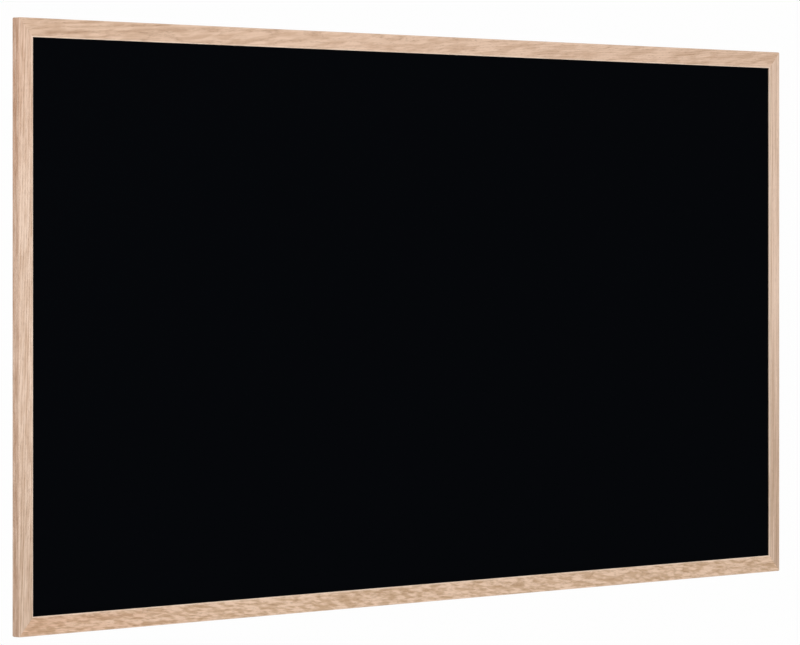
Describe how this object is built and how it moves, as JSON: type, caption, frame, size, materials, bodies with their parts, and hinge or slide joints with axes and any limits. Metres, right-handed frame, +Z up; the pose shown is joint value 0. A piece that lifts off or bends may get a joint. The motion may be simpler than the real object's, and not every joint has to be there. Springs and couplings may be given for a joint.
{
  "type": "framed chalkboard",
  "caption": "Wall chalkboard: a matt black writing surface in a mitred pale oak frame, hung by swinging D rings on its back.",
  "frame": {"origin": "on the wall plane, behind the middle of the framed board", "axes": "+Z up, +X to the right of someone who faces the board, +Y from the board into the wall; the writing surface faces -Y, and its face is the plane y = -0.02145"},
  "size_m": [2.4384, 0.0258, 1.2192],
  "materials": {
    "oak": "pale straight and wavy grained oak with a thin satin lacquer",
    "chalk_coating": "very matt near-black chalk coating on thin sheet steel",
    "fibreboard": "bare pressed fibreboard",
    "backing_foil": "dull rolled sheet with faint creases",
    "zinc_steel": "bright zinc plating",
    "bumper_rubber": "matt black moulded rubber"
  },
  "bodies": {
    "framed_board": {"top_rail": "oak", "bottom_rail": "oak", "left_stile": "oak", "right_stile": "oak", "writing_surface": "chalk_coating", "core_board": "fibreboard", "backing_sheet": "backing_foil", "mitre_nail_top_left_1": "zinc_steel", "mitre_nail_top_left_2": "zinc_steel", "mitre_nail_top_right_1": "zinc_steel", "mitre_nail_top_right_2": "zinc_steel", "mitre_nail_bottom_left_1": "zinc_steel", "mitre_nail_bottom_left_2": "zinc_steel", "mitre_nail_bottom_right_1": "zinc_steel", "mitre_nail_bottom_right_2": "zinc_steel", "panel_point_top_1": "zinc_steel", "panel_point_top_2": "zinc_steel", "panel_point_top_3": "zinc_steel", "panel_point_top_4": "zinc_steel", "panel_point_top_5": "zinc_steel", "panel_point_top_6": "zinc_steel", "panel_point_bottom_1": "zinc_steel", "panel_point_bottom_2": "zinc_steel", "panel_point_bottom_3": "zinc_steel", "panel_point_bottom_4": "zinc_steel", "panel_point_bottom_5": "zinc_steel", "panel_point_bottom_6": "zinc_steel", "panel_point_left_1": "zinc_steel", "panel_point_left_2": "zinc_steel", "panel_point_left_3": "zinc_steel", "panel_point_right_1": "zinc_steel", "panel_point_right_2": "zinc_steel", "panel_point_right_3": "zinc_steel", "hanger_screw_left_1": "zinc_steel", "hanger_screw_left_2": "zinc_steel", "hanger_screw_left_3": "zinc_steel", "hanger_screw_right_1": "zinc_steel", "hanger_screw_right_2": "zinc_steel", "hanger_screw_right_3": "zinc_steel", "hanger_strap_left": "zinc_steel", "hanger_strap_right": "zinc_steel", "wall_bumper_top_left": "bumper_rubber", "wall_bumper_top_right": "bumper_rubber", "wall_bumper_bottom_left": "bumper_rubber", "wall_bumper_bottom_right": "bumper_rubber"},
    "ring_left": {"d_ring_left": "zinc_steel"},
    "ring_right": {"d_ring_right": "zinc_steel"}
  },
  "joints": [
    {"name": "d_ring_left_swing", "type": "hinge", "parent": "framed_board", "child": "ring_left", "pos_m": [-1.2027, -0.00335, 0.3596], "axis": [1, 0, 0], "range_deg": [0, 180]},
    {"name": "d_ring_right_swing", "type": "hinge", "parent": "framed_board", "child": "ring_right", "pos_m": [1.2027, -0.00335, 0.3596], "axis": [1, 0, 0], "range_deg": [0, 180]}
  ]
}
